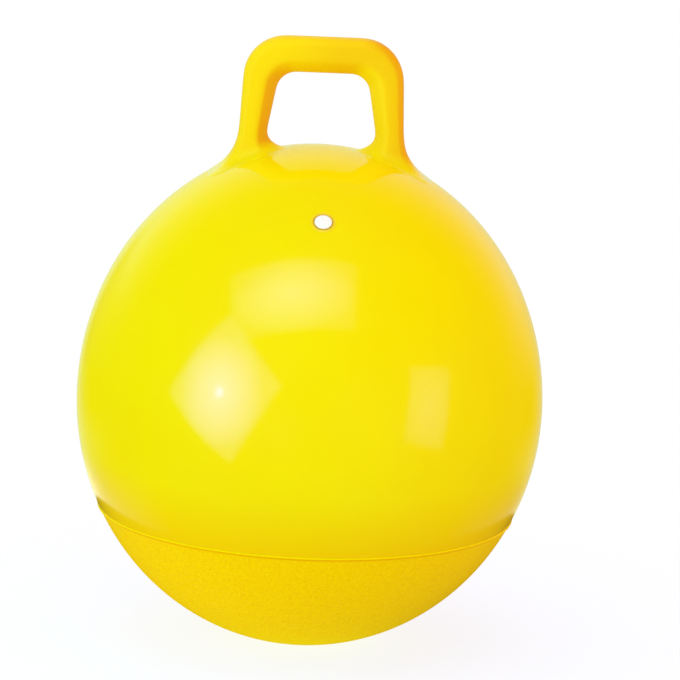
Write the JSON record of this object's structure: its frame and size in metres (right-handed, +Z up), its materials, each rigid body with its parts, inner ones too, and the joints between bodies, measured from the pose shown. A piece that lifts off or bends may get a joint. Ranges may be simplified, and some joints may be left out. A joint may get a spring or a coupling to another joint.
{
  "type": "hopper ball",
  "caption": "Egg-round inflated vinyl ball for bouncing on, with a D-shaped hand grip on top, a textured grip base and a pull-out valve plug.",
  "frame": {"origin": "middle of the flat patch the ball stands on", "axes": "+Z up from the ground through the handle, +X along the handle's bar, -Y towards the valve"},
  "size_m": [0.45, 0.45, 0.5887],
  "materials": {
    "gloss_vinyl": "smooth glossy yellow vinyl",
    "grained_vinyl": "satin yellow vinyl with a fine pebble grain",
    "matte_vinyl": "matte yellow vinyl",
    "soft_vinyl": "soft satin yellow vinyl",
    "plug_white": "satin white plastic"
  },
  "bodies": {
    "ball": {"upper_shell": "gloss_vinyl", "grip_base": "grained_vinyl", "handle": "matte_vinyl", "valve_bush": "soft_vinyl"},
    "plug": {"valve_plug": "plug_white"}
  },
  "joints": [
    {"name": "plug_pull", "type": "slide", "parent": "ball", "child": "plug", "axis": [0, -0.6422, 0.7665], "range_m": [0, 0.03]}
  ]
}
